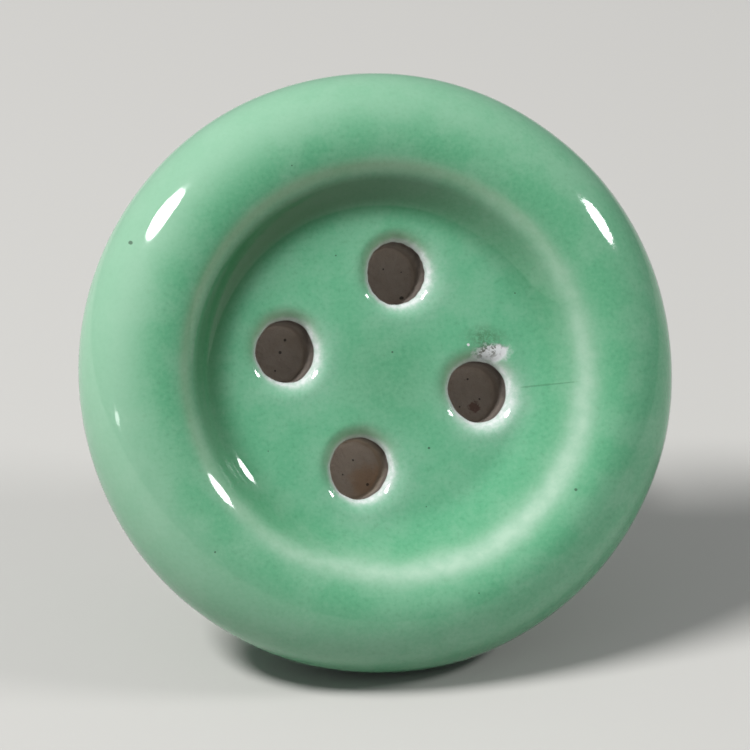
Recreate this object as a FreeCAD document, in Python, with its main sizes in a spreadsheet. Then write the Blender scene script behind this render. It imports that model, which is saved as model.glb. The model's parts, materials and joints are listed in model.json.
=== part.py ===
"""A ceramic cabinet knob shaped like a four-hole sewing button.

The knob lies on a table, as it does when it is off its drawer: it stands on the rim of its head
and on one flat of the nut at the end of its bolt, and its face looks up at the person in front.

Every piece is built about the knob's own axis, in millimetres: z = 0 is the plane that bears on
the drawer front, +z runs out to the face, +y is the top of the face. One placement, worked out at
the end, then lays the whole knob down with +Z up and the face towards -Y.
"""
import FreeCAD, Part
import math
import os

import Sketcher
from FreeCAD import Placement, Rotation, Vector

# The driving dimensions: name, value in millimetres or degrees, meaning.
DRIVING_SIZES = [
    # head
    ("knob_diameter", 40.0, "outside of the head"),
    ("rim_round", 4.5, "radius of the rim's round section"),
    ("widest_height", 15.0, "widest line of the head above the drawer front"),
    ("rim_width", 6.8, "rim from its outside to the edge of the dish"),
    ("dish_depth", 2.6, "floor of the dish below the crest of the rim"),
    ("dish_wall_angle", 45.0, "slope of the dish's wall above its floor"),
    ("dish_cove", 2.0, "hollow between the dish's floor and wall"),
    ("dish_lip", 1.2, "rounding where the dish's wall meets the rim"),
    ("neck_diameter", 17.0, "narrowest part of the neck"),
    ("neck_top", 5.5, "where the neck would meet the underside, above the drawer front"),
    ("neck_hollow", 4.0, "hollow between the underside and the neck"),
    ("foot_diameter", 19.0, "outside of the glazed foot"),
    ("bare_foot", 2.4, "height of the foot left without glaze"),
    ("glaze_thickness", 0.3, "thickness of the glaze"),
    # thread holes of the button, which stop inside the clay
    ("hole_diameter", 4.0, "each of the four holes"),
    ("hole_circle", 13.2, "circle through the four hole centres"),
    ("hole_depth", 4.5, "holes below the floor of the dish"),
    ("hole_mouth", 1.0, "rounding of the glaze at each hole's mouth"),
    ("hole_turn", 16.0, "clockwise turn of the cross of holes from upright"),
    # rear socket and the bolt set in it
    ("socket_diameter", 10.0, "socket in the foot"),
    ("socket_depth", 8.0, "socket above the bottom of the foot"),
    ("cement_cover", 0.6, "cement over the bolt's head"),
    ("bolt_diameter", 4.0, "outside of the M4 thread"),
    ("bolt_length", 25.0, "bolt below its head"),
    ("bolt_tip_chamfer", 0.5, "bevel at the bolt's tip"),
    ("bolt_head_flats", 7.0, "bolt head across its flats"),
    ("bolt_head_height", 2.8, "bolt head's height"),
    # pressed cup and soft washer under the foot
    ("cup_metal", 0.6, "thickness of the cup's metal"),
    ("cup_height", 3.0, "outside height of the cup"),
    ("cup_corner", 0.9, "rounding of the cup's outer corner"),
    ("cup_gap", 0.2, "gap between the foot and the cup's wall"),
    ("cushion_thickness", 0.8, "thickness of the soft washer"),
    ("bolt_hole_gap", 0.15, "gap between the bolt and each plain hole round it"),
    # nut and washer behind the drawer front
    ("panel_thickness", 13.0, "drawer front held between cup and washer"),
    ("washer_diameter", 9.0, "flat washer's outside"),
    ("washer_thickness", 0.8, "flat washer's thickness"),
    ("washer_bevel", 0.15, "rounding of the washer's edges"),
    ("nut_flats", 7.0, "nut across its flats"),
    ("nut_height", 3.2, "nut's height"),
    ("nut_face_diameter", 7.6, "circle that the bevelled corners leave on the nut's faces"),
    ("thread_gap", 0.05, "gap between the bolt and the nut's thread"),
    ("nut_gap", 0.02, "gap between the nut and the flat washer"),
]

# Heights and radii along the knob's axis that several pieces share, as expressions of the sheet.
FOOT_BOTTOM = "(Sizes.cup_metal + Sizes.cushion_thickness)"
RIM_CENTRE = "(Sizes.knob_diameter / 2 - Sizes.rim_round)"
DISH_FLOOR = "(Sizes.widest_height + Sizes.rim_round - Sizes.dish_depth)"
DISH_EDGE = (
    "(Sizes.widest_height"
    " + sqrt(Sizes.rim_round ^ 2 - (Sizes.rim_width - Sizes.rim_round) ^ 2))"
)
DISH_FLOOR_RADIUS = (
    "(Sizes.knob_diameter / 2 - Sizes.rim_width"
    f" - ({DISH_EDGE} - {DISH_FLOOR}) / tan(Sizes.dish_wall_angle * 1 deg))"
)
NECK_TO_RIM = f"({RIM_CENTRE} - Sizes.neck_diameter / 2)"
NECK_TO_WIDEST = "(Sizes.widest_height - Sizes.neck_top)"
# The underside is a cone that just touches the rim's round section.
UNDERSIDE_ANGLE = (
    f"(atan({NECK_TO_WIDEST} / {NECK_TO_RIM})"
    f" - asin(Sizes.rim_round / sqrt({NECK_TO_RIM} ^ 2 + {NECK_TO_WIDEST} ^ 2)))"
)
SOCKET_TOP = f"({FOOT_BOTTOM} + Sizes.socket_depth)"
BOLT_HEAD_TOP = f"({SOCKET_TOP} - Sizes.cement_cover)"
BOLT_HEAD_SEAT = f"({BOLT_HEAD_TOP} - Sizes.bolt_head_height)"
BOLT_TIP = f"({BOLT_HEAD_SEAT} - Sizes.bolt_length)"
# The cup goes over the foot and the neck, whichever is wider.
CUP_INNER = (
    "(max(Sizes.foot_diameter; Sizes.neck_diameter) / 2"
    " - Sizes.glaze_thickness + Sizes.cup_gap)"
)
CUP_OUTER = f"({CUP_INNER} + Sizes.cup_metal)"
PLAIN_HOLE = "(Sizes.bolt_diameter / 2 + Sizes.bolt_hole_gap)"
WASHER_BACK = "(-Sizes.panel_thickness - Sizes.washer_thickness)"
NUT_BACK = f"({WASHER_BACK} - Sizes.nut_gap - Sizes.nut_height)"

HOLE_COUNT = 4
# Two lengths this close together are taken to be the same, in millimetres.
CLOSE = 0.01

doc = FreeCAD.newDocument("ButtonKnob")
sheet = doc.addObject("Spreadsheet::Sheet", "Sizes")
for row, (alias, value, meaning) in enumerate(DRIVING_SIZES, start=1):
    sheet.set(f"A{row}", alias)
    sheet.set(f"B{row}", str(value))
    sheet.set(f"C{row}", meaning)
    sheet.setAlias(f"B{row}", alias)
doc.recompute()


def size(alias):
    """The value that the sheet holds under this name."""
    return float(sheet.get(alias))


def plane(body, role):
    """One of a body's own origin planes or axes."""
    return next(item for item in body.Origin.OriginFeatures if item.Role == role)


def sketch_on(body, role, name):
    """A new sketch on one of the body's own origin planes."""
    sketch = body.newObject("Sketcher::SketchObject", name)
    sketch.AttachmentSupport = [(plane(body, role), "")]
    sketch.MapMode = "FlatFace"
    return sketch


def named_distance(sketch, kind, element, point, name, expression, start):
    """A distance from the sketch's origin to a point, bound to the sheet under its own name."""
    index = sketch.addConstraint(Sketcher.Constraint(kind, -1, 1, element, point, start))
    sketch.renameConstraint(index, name)
    sketch.setExpression(f"Constraints.{name}", expression)


def revolve(body, sketch, name):
    """The sketch turned right round the body's axis, which is the sketch's upright axis."""
    feature = body.newObject("PartDesign::Revolution", name)
    feature.Profile = sketch
    feature.ReferenceAxis = (sketch, ["V_Axis"])
    feature.Angle = 360.0
    doc.recompute()
    return feature


def circles_at(shape, radius, low, high):
    """The names of the circular edges of this radius whose height lies between two heights."""
    found = []
    for number, edge in enumerate(shape.Edges, start=1):
        if not isinstance(edge.Curve, Part.Circle):
            continue
        if abs(edge.Curve.Radius - radius) < CLOSE and low < edge.Curve.Center.z < high:
            found.append(f"Edge{number}")
    return found


def round_circle(body, radius, low, high, name, expression):
    """Rounds the one circular edge of this radius between two heights."""
    base = body.Tip
    edges = circles_at(base.Shape, radius, low, high)
    if len(edges) != 1:
        raise RuntimeError(f"{name}: {len(edges)} edges of radius {radius:.3f}")
    fillet = body.newObject("PartDesign::Fillet", name)
    fillet.Base = (base, edges)
    fillet.setExpression("Radius", expression)
    doc.recompute()


def head_blank(name, skin):
    """The head, neck and foot without holes. skin is how far it lies inside the glazed surface:
    0 for the outside of the glaze, the glaze's thickness for the clay under it."""
    body = doc.addObject("PartDesign::Body", name)
    inset = 0.0 if skin == "0" else size("glaze_thickness")
    rim_centre = size("knob_diameter") / 2 - size("rim_round")
    widest = size("widest_height")
    round_radius = size("rim_round") - inset
    wall = math.radians(size("dish_wall_angle"))
    glazed_floor = widest + size("rim_round") - size("dish_depth")
    edge_inside = size("rim_width") - size("rim_round")
    edge = widest + math.sqrt(size("rim_round") ** 2 - edge_inside**2)
    floor_radius = size("knob_diameter") / 2 - size("rim_width")
    floor_radius -= (edge - glazed_floor) / math.tan(wall)
    floor_radius += inset * math.tan(wall / 2)
    floor = glazed_floor - inset
    # Where the dish's wall runs into the round of the rim.
    across, up = floor_radius - rim_centre, floor - widest
    along = across * math.cos(wall) + up * math.sin(wall)
    reach = -along + math.sqrt(along**2 - (across**2 + up**2 - round_radius**2))
    lip_radius = floor_radius + reach * math.cos(wall)
    lip = floor + reach * math.sin(wall)
    # Where the underside leaves the round of the rim, and where it meets the neck.
    neck_to_rim = rim_centre - size("neck_diameter") / 2
    neck_to_widest = widest - size("neck_top")
    slope = math.atan(neck_to_widest / neck_to_rim)
    slope -= math.asin(size("rim_round") / math.hypot(neck_to_rim, neck_to_widest))
    leave_radius = rim_centre + round_radius * math.sin(slope)
    leave = widest - round_radius * math.cos(slope)
    neck_radius = size("neck_diameter") / 2 - inset
    neck_top = leave - (leave_radius - neck_radius) * math.tan(slope)
    foot_radius = size("foot_diameter") / 2 - inset
    foot = size("cup_metal") + size("cushion_thickness")

    sketch = sketch_on(body, "XZ_Plane", f"{name}_outline")
    corners = [
        Vector(0, foot, 0),
        Vector(0, floor, 0),
        Vector(floor_radius, floor, 0),
        Vector(lip_radius, lip, 0),
    ]
    axis, dish_floor, dish_wall = (
        sketch.addGeometry(Part.LineSegment(one, other))
        for one, other in zip(corners, corners[1:])
    )
    rim = sketch.addGeometry(
        Part.ArcOfCircle(
            Part.Circle(Vector(rim_centre, widest, 0), Vector(0, 0, 1), round_radius),
            slope - math.pi / 2,
            math.atan2(lip - widest, lip_radius - rim_centre),
        )
    )
    corners = [
        Vector(leave_radius, leave, 0),
        Vector(neck_radius, neck_top, 0),
        Vector(foot_radius, foot, 0),
        Vector(0, foot, 0),
    ]
    underside, neck, foot_face = (
        sketch.addGeometry(Part.LineSegment(one, other))
        for one, other in zip(corners, corners[1:])
    )
    start, end, centre = 1, 2, 3
    sketch.addConstraint(
        [
            Sketcher.Constraint("Coincident", axis, end, dish_floor, start),
            Sketcher.Constraint("Coincident", dish_floor, end, dish_wall, start),
            Sketcher.Constraint("Coincident", dish_wall, end, rim, end),
            Sketcher.Constraint("Tangent", rim, start, underside, start),
            Sketcher.Constraint("Coincident", underside, end, neck, start),
            Sketcher.Constraint("Coincident", neck, end, foot_face, start),
            Sketcher.Constraint("Coincident", foot_face, end, axis, start),
            Sketcher.Constraint("PointOnObject", axis, start, -2),
            Sketcher.Constraint("PointOnObject", axis, end, -2),
            Sketcher.Constraint("Horizontal", dish_floor),
            Sketcher.Constraint("Horizontal", foot_face),
        ]
    )
    inset_name = "0" if skin == "0" else "Sizes.glaze_thickness"
    named_distance(sketch, "DistanceX", rim, centre, "rim_centre", RIM_CENTRE, rim_centre)
    named_distance(sketch, "DistanceY", rim, centre, "widest", "Sizes.widest_height", widest)
    index = sketch.addConstraint(Sketcher.Constraint("Radius", rim, round_radius))
    sketch.renameConstraint(index, "rim_round")
    sketch.setExpression("Constraints.rim_round", f"Sizes.rim_round - {inset_name}")
    named_distance(
        sketch, "DistanceX", dish_floor, end, "floor_radius",
        f"{DISH_FLOOR_RADIUS} + {inset_name} * tan(Sizes.dish_wall_angle * 0.5 deg)",
        floor_radius,
    )
    named_distance(
        sketch, "DistanceY", dish_floor, end, "floor", f"{DISH_FLOOR} - {inset_name}", floor
    )
    index = sketch.addConstraint(Sketcher.Constraint("Angle", dish_wall, wall))
    sketch.renameConstraint(index, "wall_angle")
    sketch.setExpression("Constraints.wall_angle", "Sizes.dish_wall_angle * 1 deg")
    # The underside is drawn from the rim inwards, so it points down and to the axis.
    index = sketch.addConstraint(Sketcher.Constraint("Angle", underside, slope - math.pi))
    sketch.renameConstraint(index, "underside_angle")
    sketch.setExpression("Constraints.underside_angle", f"{UNDERSIDE_ANGLE} - 180 deg")
    named_distance(
        sketch, "DistanceX", neck, start, "neck", f"Sizes.neck_diameter / 2 - {inset_name}",
        neck_radius,
    )
    named_distance(
        sketch, "DistanceX", neck, end, "foot", f"Sizes.foot_diameter / 2 - {inset_name}",
        foot_radius,
    )
    named_distance(sketch, "DistanceY", neck, end, "foot_bottom", FOOT_BOTTOM, foot)
    doc.recompute()
    revolve(body, sketch, f"{name}_turned")
    above, below = widest + size("rim_round"), 0.0
    round_circle(
        body, floor_radius, below, above, f"{name}_cove", f"Sizes.dish_cove + {inset_name}"
    )
    round_circle(
        body, lip_radius, below, above, f"{name}_lip", f"Sizes.dish_lip - {inset_name}"
    )
    round_circle(
        body, neck_radius, below, above, f"{name}_hollow", f"Sizes.neck_hollow + {inset_name}"
    )
    return body


def pierce(body, skin):
    """The four thread holes, sunk from the floor of the dish into the head. Glaze is rounded at
    their mouths, and the clay under it is bevelled to leave room for it."""
    glazed = skin == "0"
    before = body.Shape.Volume
    sketch = sketch_on(body, "XY_Plane", f"{body.Name}_hole")
    sketch.setExpression("AttachmentOffset.Base.z", DISH_FLOOR)
    radius, angle = size("hole_circle") / 2, math.radians(90 - size("hole_turn"))
    hole = sketch.addGeometry(
        Part.Circle(
            Vector(radius * math.cos(angle), radius * math.sin(angle), 0),
            Vector(0, 0, 1),
            size("hole_diameter") / 2,
        )
    )
    centre = 3
    named_distance(
        sketch, "DistanceX", hole, centre, "across",
        "Sizes.hole_circle / 2 * sin(Sizes.hole_turn * 1 deg)", radius * math.cos(angle),
    )
    named_distance(
        sketch, "DistanceY", hole, centre, "up",
        "Sizes.hole_circle / 2 * cos(Sizes.hole_turn * 1 deg)", radius * math.sin(angle),
    )
    index = sketch.addConstraint(Sketcher.Constraint("Radius", hole, size("hole_diameter") / 2))
    sketch.renameConstraint(index, "radius")
    sketch.setExpression("Constraints.radius", "Sizes.hole_diameter / 2")
    pocket = body.newObject("PartDesign::Pocket", f"{body.Name}_thread_hole")
    pocket.Profile = sketch
    pocket.setExpression("Length", "Sizes.hole_depth")
    doc.recompute()
    pattern = body.newObject("PartDesign::PolarPattern", f"{body.Name}_thread_holes")
    pattern.Originals = [pocket]
    pattern.Axis = (plane(body, "Z_Axis"), [""])
    pattern.Angle = 360.0
    pattern.Occurrences = HOLE_COUNT
    body.Tip = pattern
    doc.recompute()
    removed = before - body.Shape.Volume
    one_hole = math.pi * (size("hole_diameter") / 2) ** 2 * size("hole_depth")
    if removed < HOLE_COUNT * one_hole / 2:
        raise RuntimeError(f"the thread holes of {body.Name} cut only {removed:.1f} mm3")
    floor = size("widest_height") + size("rim_round") - size("dish_depth")
    floor -= 0.0 if glazed else size("glaze_thickness")
    edges = circles_at(pattern.Shape, size("hole_diameter") / 2, floor - CLOSE, floor + CLOSE)
    if len(edges) != HOLE_COUNT:
        raise RuntimeError(f"{len(edges)} hole mouths in {body.Name}")
    kind = "Fillet" if glazed else "Chamfer"
    mouth = body.newObject(f"PartDesign::{kind}", f"{body.Name}_mouths")
    mouth.Base = (pattern, edges)
    if glazed:
        mouth.setExpression("Radius", "Sizes.hole_mouth")
    else:
        mouth.setExpression("Size", "Sizes.hole_mouth - Sizes.glaze_thickness / 2")
    doc.recompute()


def ring_body(name, outer, inner, thickness, bottom):
    """A flat ring, padded up from its bottom."""
    body = doc.addObject("PartDesign::Body", name)
    sketch = sketch_on(body, "XY_Plane", f"{name}_outline")
    sketch.setExpression("AttachmentOffset.Base.z", bottom)
    # The circles are drawn at about this size, and the sheet then sets them.
    rough_outer, rough_inner = 9.0, 2.0
    for label, expression, start in (
        ("outer", outer, rough_outer),
        ("inner", inner, rough_inner),
    ):
        circle = sketch.addGeometry(Part.Circle(Vector(0, 0, 0), Vector(0, 0, 1), start))
        sketch.addConstraint(Sketcher.Constraint("Coincident", circle, 3, -1, 1))
        index = sketch.addConstraint(Sketcher.Constraint("Radius", circle, start))
        sketch.renameConstraint(index, label)
        sketch.setExpression(f"Constraints.{label}", expression)
    pad = body.newObject("PartDesign::Pad", f"{name}_pad")
    pad.Profile = sketch
    pad.setExpression("Length", thickness)
    doc.recompute()
    return body


def cylinder(name, radius, height, bottom):
    """A plain cylinder on the knob's axis."""
    shape = doc.addObject("Part::Cylinder", name)
    shape.setExpression("Radius", radius)
    shape.setExpression("Height", height)
    shape.setExpression("Placement.Base.z", bottom)
    return shape


def hexagon(name, flats, height, bottom):
    """A hexagonal prism on the knob's axis with one flat at the bottom of the face."""
    shape = doc.addObject("Part::Prism", name)
    shape.Polygon = 6
    shape.setExpression("Circumradius", f"{flats} / 2 / cos(30 deg)")
    shape.setExpression("Height", height)
    shape.setExpression("Placement.Base.z", bottom)
    return shape


def boolean(kind, name, base, tool):
    """A Part::Cut, Part::Fuse or Part::Common of two shapes."""
    shape = doc.addObject(f"Part::{kind}", name)
    shape.Base = base
    shape.Tool = tool
    doc.recompute()
    return shape


def clay_body():
    """Fired clay: head, four blind holes, neck and foot, with the socket for the cement."""
    body = head_blank("clay_body", "Sizes.glaze_thickness")
    pierce(body, "Sizes.glaze_thickness")
    before = body.Shape.Volume
    sketch = sketch_on(body, "XY_Plane", "socket_outline")
    sketch.setExpression("AttachmentOffset.Base.z", FOOT_BOTTOM)
    circle = sketch.addGeometry(
        Part.Circle(Vector(0, 0, 0), Vector(0, 0, 1), size("socket_diameter") / 2)
    )
    sketch.addConstraint(Sketcher.Constraint("Coincident", circle, 3, -1, 1))
    index = sketch.addConstraint(
        Sketcher.Constraint("Radius", circle, size("socket_diameter") / 2)
    )
    sketch.renameConstraint(index, "socket_radius")
    sketch.setExpression("Constraints.socket_radius", "Sizes.socket_diameter / 2")
    socket = body.newObject("PartDesign::Pocket", "socket")
    socket.Profile = sketch
    # A pocket runs against its sketch's normal, and this one has to run up into the foot.
    socket.Reversed = True
    socket.setExpression("Length", "Sizes.socket_depth")
    doc.recompute()
    socket_room = math.pi * (size("socket_diameter") / 2) ** 2 * size("socket_depth")
    if before - body.Shape.Volume < socket_room / 2:
        raise RuntimeError("the socket cut too little")
    return body


def glaze_coat():
    """The glaze: what lies between its own surface and the clay, down to the bare foot."""
    outside = head_blank("glaze_outside", "0")
    pierce(outside, "0")
    inside = head_blank("glaze_inside", "Sizes.glaze_thickness")
    pierce(inside, "Sizes.glaze_thickness")
    bare = cylinder("bare_foot_zone", RIM_CENTRE, "Sizes.bare_foot", FOOT_BOTTOM)
    taken_away = boolean("Fuse", "glaze_taken_away", inside, bare)
    return boolean("Cut", "glaze_coat", outside, taken_away)


def bolt_form():
    """The bolt before its tip is bevelled, which is also the shape that the cement sets round."""
    head = hexagon("bolt_head", "Sizes.bolt_head_flats", "Sizes.bolt_head_height", BOLT_HEAD_SEAT)
    shank = cylinder("bolt_shank", "Sizes.bolt_diameter / 2", "Sizes.bolt_length", BOLT_TIP)
    return boolean("Fuse", "bolt_form", head, shank)


def anchor_bolt(form):
    """The M4 bolt, with a bevelled tip."""
    bolt = doc.addObject("Part::Chamfer", "anchor_bolt")
    bolt.Base = form
    radius = size("bolt_diameter") / 2
    tip = form.Shape.BoundBox.ZMin
    bevel = size("bolt_tip_chamfer")
    edges = circles_at(form.Shape, radius, tip - CLOSE, tip + CLOSE)
    bolt.Edges = [(int(edge[len("Edge"):]), bevel, bevel) for edge in edges]
    doc.recompute()
    return bolt


def setting_cement(form):
    """The cement that fills the socket round the bolt's head."""
    plug = cylinder("cement_plug", "Sizes.socket_diameter / 2", "Sizes.socket_depth", FOOT_BOTTOM)
    return boolean("Cut", "setting_cement", plug, form)


def base_cup():
    """The pressed metal cup that the foot stands in, with a plain hole for the bolt."""
    body = doc.addObject("PartDesign::Body", "base_cup")
    sketch = sketch_on(body, "XZ_Plane", "base_cup_outline")
    hole = size("bolt_diameter") / 2 + size("bolt_hole_gap")
    inner = max(size("foot_diameter"), size("neck_diameter")) / 2
    inner += size("cup_gap") - size("glaze_thickness")
    metal, height = size("cup_metal"), size("cup_height")
    corners = [
        (hole, 0), (inner + metal, 0), (inner + metal, height),
        (inner, height), (inner, metal), (hole, metal),
    ]
    points = [Vector(across, up, 0) for across, up in corners]
    sides = [
        sketch.addGeometry(Part.LineSegment(one, other))
        for one, other in zip(points, points[1:] + points[:1])
    ]
    for side, after in zip(sides, sides[1:] + sides[:1]):
        sketch.addConstraint(Sketcher.Constraint("Coincident", side, 2, after, 1))
    for side in sides[0::2]:
        sketch.addConstraint(Sketcher.Constraint("Horizontal", side))
    for side in sides[1::2]:
        sketch.addConstraint(Sketcher.Constraint("Vertical", side))
    bottom, wall_inside = sides[0], sides[3]
    sketch.addConstraint(Sketcher.Constraint("PointOnObject", bottom, 1, -1))
    named_distance(sketch, "DistanceX", bottom, 1, "hole", PLAIN_HOLE, hole)
    named_distance(sketch, "DistanceX", bottom, 2, "outer", CUP_OUTER, inner + metal)
    named_distance(sketch, "DistanceX", wall_inside, 1, "inner", CUP_INNER, inner)
    named_distance(sketch, "DistanceY", wall_inside, 1, "height", "Sizes.cup_height", height)
    named_distance(sketch, "DistanceY", wall_inside, 2, "metal", "Sizes.cup_metal", metal)
    doc.recompute()
    revolve(body, sketch, "base_cup_turned")
    round_circle(body, inner + metal, -CLOSE, CLOSE, "base_cup_corner", "Sizes.cup_corner")
    return body


def cushion_washer():
    """The soft ring that keeps the metal cup from chipping the foot."""
    return ring_body(
        "cushion_washer", f"{CUP_INNER} - Sizes.cup_gap", PLAIN_HOLE,
        "Sizes.cushion_thickness", "Sizes.cup_metal",
    )


def flat_washer():
    """The M4 washer that bears on the inside of the drawer front."""
    body = ring_body(
        "flat_washer", "Sizes.washer_diameter / 2", PLAIN_HOLE,
        "Sizes.washer_thickness", WASHER_BACK,
    )
    base = body.Tip
    chamfer = body.newObject("PartDesign::Chamfer", "flat_washer_edges")
    box = base.Shape.BoundBox
    radius = size("washer_diameter") / 2
    edges = circles_at(base.Shape, radius, box.ZMin - CLOSE, box.ZMax + CLOSE)
    chamfer.Base = (base, edges)
    chamfer.setExpression("Size", "Sizes.washer_bevel")
    doc.recompute()
    return body


def hex_nut():
    """The M4 nut, its corners bevelled at both faces."""
    prism = hexagon("nut_prism", "Sizes.nut_flats", "Sizes.nut_height", NUT_BACK)
    bar = cylinder(
        "nut_bar", "Sizes.nut_flats / 2 / cos(30 deg)", "Sizes.nut_height", NUT_BACK
    )
    doc.recompute()
    turned = doc.addObject("Part::Chamfer", "nut_turned")
    turned.Base = bar
    corner = size("nut_flats") / 2 / math.cos(math.radians(30))
    across = corner - size("nut_face_diameter") / 2
    # Nut corners are bevelled at thirty degrees to the face.
    down = across * math.tan(math.radians(30))
    box = bar.Shape.BoundBox
    edges = circles_at(bar.Shape, corner, box.ZMin - CLOSE, box.ZMax + CLOSE)
    turned.Edges = [
        (int(edge[len("Edge"):]), *bevel_order(bar.Shape, edge, across, down))
        for edge in edges
    ]
    doc.recompute()
    blank = boolean("Common", "nut_blank", prism, turned)
    bore = cylinder(
        "nut_bore", "Sizes.bolt_diameter / 2 + Sizes.thread_gap", "Sizes.nut_height", NUT_BACK
    )
    return boolean("Cut", "hex_nut", blank, bore)


def bevel_order(shape, edge_name, across, down):
    """The two legs of a bevel, in the order of the two faces beside the edge."""
    edge = shape.Edges[int(edge_name[len("Edge"):]) - 1]
    beside = [face for face in shape.Faces if any(edge.isSame(other) for other in face.Edges)]
    first_is_flat = isinstance(beside[0].Surface, Part.Plane)
    return (across, down) if first_is_flat else (down, across)


def tip_behind():
    """How far the bolt's tip lies behind the plane of the drawer front."""
    head_seat = size("cup_metal") + size("cushion_thickness") + size("socket_depth")
    head_seat -= size("cement_cover") + size("bolt_head_height")
    return size("bolt_length") - head_seat


def lean_angle():
    """How far the knob leans back when its rim and its rear end touch the table.

    The rim touches with its round section. The rear end touches with the back edge of the nut's
    lower flat or, on a longer bolt, with the bolt's tip: whichever stops the lean first. Each
    support is a distance below the knob's axis and a distance behind the drawer front.
    """
    nut_back = size("panel_thickness") + size("washer_thickness")
    nut_back += size("nut_gap") + size("nut_height")
    bolt_radius, bevel = size("bolt_diameter") / 2, size("bolt_tip_chamfer")
    supports = [
        (size("nut_flats") / 2, nut_back),
        (bolt_radius, tip_behind() - bevel),
        (bolt_radius - bevel, tip_behind()),
    ]
    leans = []
    for below, behind in supports:
        drop = size("knob_diameter") / 2 - size("rim_round") - below
        back = size("widest_height") + behind
        lean = math.atan2(drop, back) + math.asin(size("rim_round") / math.hypot(drop, back))
        leans.append(lean)
    return min(leans)


def resting_place():
    """Lays the knob on the table, with its box centred over the origin."""
    lean = lean_angle()
    rim_centre = size("knob_diameter") / 2 - size("rim_round")
    widest = size("widest_height")
    table = rim_centre * math.cos(lean) - widest * math.sin(lean) + size("rim_round")
    # The rim's round section is also the part that reaches furthest to the front.
    front = -rim_centre * math.sin(lean) - widest * math.cos(lean) - size("rim_round")
    bolt_radius, bevel = size("bolt_diameter") / 2, size("bolt_tip_chamfer")
    back = max(
        tip_behind() * math.cos(lean) + (bolt_radius - bevel) * math.sin(lean),
        (tip_behind() - bevel) * math.cos(lean) + bolt_radius * math.sin(lean),
    )
    turn = Rotation(Vector(1, 0, 0), 90 - math.degrees(lean))
    return Placement(Vector(0, -(front + back) / 2, table), turn)


form = bolt_form()
nodes = [
    clay_body(),
    glaze_coat(),
    setting_cement(form),
    anchor_bolt(form),
    cushion_washer(),
    base_cup(),
    flat_washer(),
    hex_nut(),
]
for node in nodes:
    node.Label = node.Name
    node.Placement = resting_place()
doc.recompute()

for item in doc.Objects:
    if "Invalid" in item.State or "Error" in item.State:
        raise RuntimeError(f"{item.Name} failed: {item.State}")
for node in nodes:
    if node.Shape.isNull() or not node.Shape.isValid() or len(node.Shape.Solids) != 1:
        raise RuntimeError(f"{node.Label} has no single valid solid")

os.makedirs("parts", exist_ok=True)
for node in nodes:
    node.Shape.exportStep(f"parts/{node.Label}.step")
    print(f"{node.Label:16s} {node.Shape.Volume:9.2f} mm3")
print(f"lean {math.degrees(lean_angle()):.3f} degrees")
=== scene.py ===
"""The look of a ceramic cabinet knob shaped like a four-hole sewing button.

Every piece is shaped in the knob's own frame, in millimetres: z = 0 is the plane that bears on the
drawer front, +z runs out to the face and +y is the top of the face. KNOB_FRAME then lays it down.
"""

import json
import math

import bmesh
import bpy
import numpy as np
from mathutils import Matrix, Vector, noise


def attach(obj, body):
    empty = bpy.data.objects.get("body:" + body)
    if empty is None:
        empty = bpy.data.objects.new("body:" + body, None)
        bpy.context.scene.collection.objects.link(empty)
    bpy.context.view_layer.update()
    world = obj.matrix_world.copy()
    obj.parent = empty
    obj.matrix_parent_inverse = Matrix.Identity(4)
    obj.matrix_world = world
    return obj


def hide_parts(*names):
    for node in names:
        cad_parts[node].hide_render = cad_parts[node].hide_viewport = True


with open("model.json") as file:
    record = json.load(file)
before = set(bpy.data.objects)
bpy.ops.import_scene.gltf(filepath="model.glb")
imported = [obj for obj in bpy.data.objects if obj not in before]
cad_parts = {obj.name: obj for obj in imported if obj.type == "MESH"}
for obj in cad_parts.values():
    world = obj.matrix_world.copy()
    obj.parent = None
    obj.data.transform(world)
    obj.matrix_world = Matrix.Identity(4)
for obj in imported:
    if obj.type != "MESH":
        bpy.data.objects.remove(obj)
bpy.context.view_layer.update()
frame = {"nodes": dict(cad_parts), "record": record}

# Blender's vector noise takes its seed from the clock unless it is given one.
NOISE_SEED = 1
noise.seed_set(NOISE_SEED)

MM = 0.001

# Sizes, in millimetres. First the head's outline.
RIM_CENTRE = 15.5
RIM_ROUND = 4.5
WIDEST = 15.0
DISH_FLOOR = 16.9
DISH_FLOOR_RADIUS = 11.23
DISH_EDGE_RADIUS = 13.2
DISH_EDGE = 18.87
UNDERSIDE_SLOPE = math.radians(31.0)
NECK_RADIUS = 8.5
NECK_TOP = 5.54
FOOT_RADIUS = 9.5
FOOT_BOTTOM = 1.4
GLAZE = 0.3
GLAZE_LINE = 3.8
CLAY_GAP = 0.01
CLAY_INSET = GLAZE + CLAY_GAP
SOCKET_RADIUS = 5.0
SOCKET_TOP = 9.4
# The four thread holes.
HOLE_COUNT = 4
HOLE_CIRCLE = 6.6
HOLE_TOP_ANGLE = math.radians(74.0)
HOLE_RADIUS = 2.0
HOLE_BOTTOM = 12.4
MOUTH_RADIUS = 3.25
MOUTH_DEPTH = 0.95
MOUTH_DROP = 0.70
SECTOR_RADIUS = 10.3
WALL_GAP = 0.03
BOTTOM_ROUND = 0.5
BOTTOM_FLAT = 1.42
TURN_WIDTH = 0.4
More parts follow.
